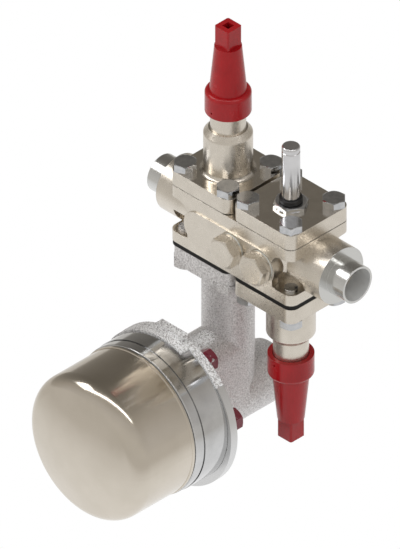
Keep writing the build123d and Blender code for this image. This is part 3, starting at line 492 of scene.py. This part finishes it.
for side, steel in (("inlet_valve", inlet_steel), ("outlet_valve", outlet_steel)):
    for piece, material in (
        ("bonnet", nickel),
        ("gasket", gasket),
        ("bolts", zinc),
        ("insert", steel),
        ("cone", steel),
        ("cone_seal", white_seal),
        ("spindle", steel),
        ("packing", white_seal),
        ("gland_nut", steel),
        ("cap", red),
        ("cap_washer", white_seal),
    ):
        finishes[f"{side}_{piece}"] = material

for name, node in frame["nodes"].items():
    node.data.materials.clear()
    node.data.materials.append(finishes[name])

# Each spring is stood for by a copy of its own mesh, fixed to the body that its slide hangs from
for slide in frame["record"]["behaviour"]["joints"]:
    for deforming in slide.get("deforming_nodes", []):
        name = deforming["node"]
        spring = frame["nodes"][name]
        coils = bpy.data.objects.new(f"{name}_coils", spring.data.copy())
        coils.matrix_world = spring.matrix_world
        scene.collection.objects.link(coils)
        low, high = (Vector(corner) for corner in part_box(name))
        fixed = (low + high) / 2
        fixed.z = deforming["fixed_end_z_m"]
        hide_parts(name)
        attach(coils, slide["parent"])
        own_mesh(coils)


# Studio: five soft lamps, and a pale floor well below the station, which hangs in its pipe line
FLOOR_DROP = 0.45
FLOOR_SIDE = 14.0
# In bright metal the floor is white near the station, and greyer from one distance to the other
FLOOR_GREYS = (0.75, 1.8)
PHOTO_HEIGHT = 549
PIXELS_PER_METRE = 1410.0
CAMERA_DISTANCE = 1.5
AIM = Vector((0.0385, 0.0, -0.0698))
CAMERA_WAY = Vector((1.0, -1.0, 1.0)).normalized()
# The studio is darkest up behind the station on the left, and bright metal mirrors that
DARK_WAY = (-0.5, 0.5, 0.707)
STUDIO_GREYS = (
    (0.3, "#D9D6D1"),
    (0.52, "#CBC8C4"),
    (0.7, "#B5B0A9"),
    (0.87, "#8A8680"),
    (1.0, "#726E68"),
)

scene.view_settings.view_transform = "Standard"


def pointed(obj, place, target):
    """Place an object and turn its -Z axis to the target."""
    obj.location = place
    obj.rotation_euler = (target - place).to_track_quat("-Z", "Y").to_euler()
    scene.collection.objects.link(obj)


camera_data = bpy.data.cameras.new("camera")
camera_data.type = "ORTHO"
camera_data.ortho_scale = PHOTO_HEIGHT / PIXELS_PER_METRE
camera = bpy.data.objects.new("camera", camera_data)
pointed(camera, AIM + CAMERA_WAY * CAMERA_DISTANCE, AIM)
scene.camera = camera


def area_lamp(name, place, width, height, power, mirrored=False):
    """A soft rectangular lamp aimed at the station; bright metal mirrors it only if told to."""
    data = bpy.data.lights.new(name, "AREA")
    data.shape = "RECTANGLE"
    data.size, data.size_y = width, height
    data.energy = power
    lamp = bpy.data.objects.new(name, data)
    lamp.visible_glossy = mirrored
    pointed(lamp, Vector(place), AIM)


area_lamp("key_lamp", (-1.11, -0.84, 1.33), 0.8, 0.8, 8.0, mirrored=True)
area_lamp("fill_lamp", (1.9, -0.6, 0.7), 1.0, 1.4, 8.0)
area_lamp("back_lamp", (-0.6, 1.8, 1.2), 1.2, 0.8, 10.0)
area_lamp("overhead_strip", (0.3, -0.35, 1.6), 3.4, 0.2, 11.0, mirrored=True)
area_lamp("front_lamp", (-0.4, -2.0, 0.6), 1.2, 1.2, 10.0)

floor_mesh = bpy.data.meshes.new("floor")
sheet = bmesh.new()
bmesh.ops.create_grid(sheet, x_segments=1, y_segments=1, size=FLOOR_SIDE / 2)
bmesh.ops.translate(sheet, vec=(0.0, 0.0, cad_box[0].z - FLOOR_DROP), verts=sheet.verts)
sheet.to_mesh(floor_mesh)
sheet.free()
floor = bpy.data.objects.new("floor", floor_mesh)
scene.collection.objects.link(floor)

paper, tree, shader, place = start_material(
    "matt_studio_paper", Roughness=0.9, Specular_IOR_Level=0.1
)
tooth = noise(tree, place, PAPER_TOOTH)
drive(tree, shader, Base_Color=blend_colours(tree, share(tree, tooth), "#FBFBFB", "#FFFFFF"))
# The camera sees it pure white, bright metal mirrors the graded greys, and the rest sees paper
rays = add_node(tree, "ShaderNodeLightPath").outputs
seen = compute(tree, "MAXIMUM", rays["Is Camera Ray"], rays["Is Glossy Ray"])
away = share(tree, measure(tree, place, AIM, "DISTANCE"), *FLOOR_GREYS)
graded = blend_colours(tree, away, "#FFFFFF", "#D6D3CE")
glow = blend_colours(tree, rays["Is Camera Ray"], graded, "#FFFFFF")
white = add_node(tree, "ShaderNodeEmission", {"Color": glow, "Strength": 1.0})
mixed = add_node(
    tree, "ShaderNodeMixShader", {0: seen, 1: shader.outputs[0], 2: white.outputs[0]}
)
tree.links.new(mixed.outputs[0], tree.nodes["Material Output"].inputs["Surface"])
floor_mesh.materials.append(paper)

world = bpy.data.worlds.new("studio")
world.use_nodes = True
scene.world = world
sky = world.node_tree
sky.nodes.clear()
way = add_node(sky, "ShaderNodeTexCoord").outputs["Generated"]
toward_dark = share(sky, measure(sky, way, DARK_WAY), -1.0, 1.0)
ramp = add_node(sky, "ShaderNodeValToRGB", {"Fac": toward_dark})
stops = ramp.color_ramp.elements
for at, grey in STUDIO_GREYS[1:]:
    stops.new(at)
stops.remove(stops[-1])
for stop, (at, grey) in zip(stops, STUDIO_GREYS):
    stop.position = at
    stop.color = srgb(grey)


def sky_light(colour, strength=1.0):
    """The whole sky in one colour, a value or a node's output."""
    sockets = {"Color": colour, "Strength": strength}
    return add_node(sky, "ShaderNodeBackground", sockets).outputs[0]


# The camera sees a white sky, bright metal mirrors the studio, and the rest is lit evenly
sky_rays = add_node(sky, "ShaderNodeLightPath").outputs
studio = sky_light(ramp.outputs["Color"])
plain = sky_light(srgb("#E8E8E8"), 0.6)
clear = sky_light(srgb("#FFFFFF"))
shiny = {0: sky_rays["Is Glossy Ray"], 1: plain, 2: studio}
lit = add_node(sky, "ShaderNodeMixShader", shiny).outputs[0]
viewed = {0: sky_rays["Is Camera Ray"], 1: lit, 2: clear}
whole_sky = add_node(sky, "ShaderNodeMixShader", viewed).outputs[0]
add_node(sky, "ShaderNodeOutputWorld", {"Surface": whole_sky})
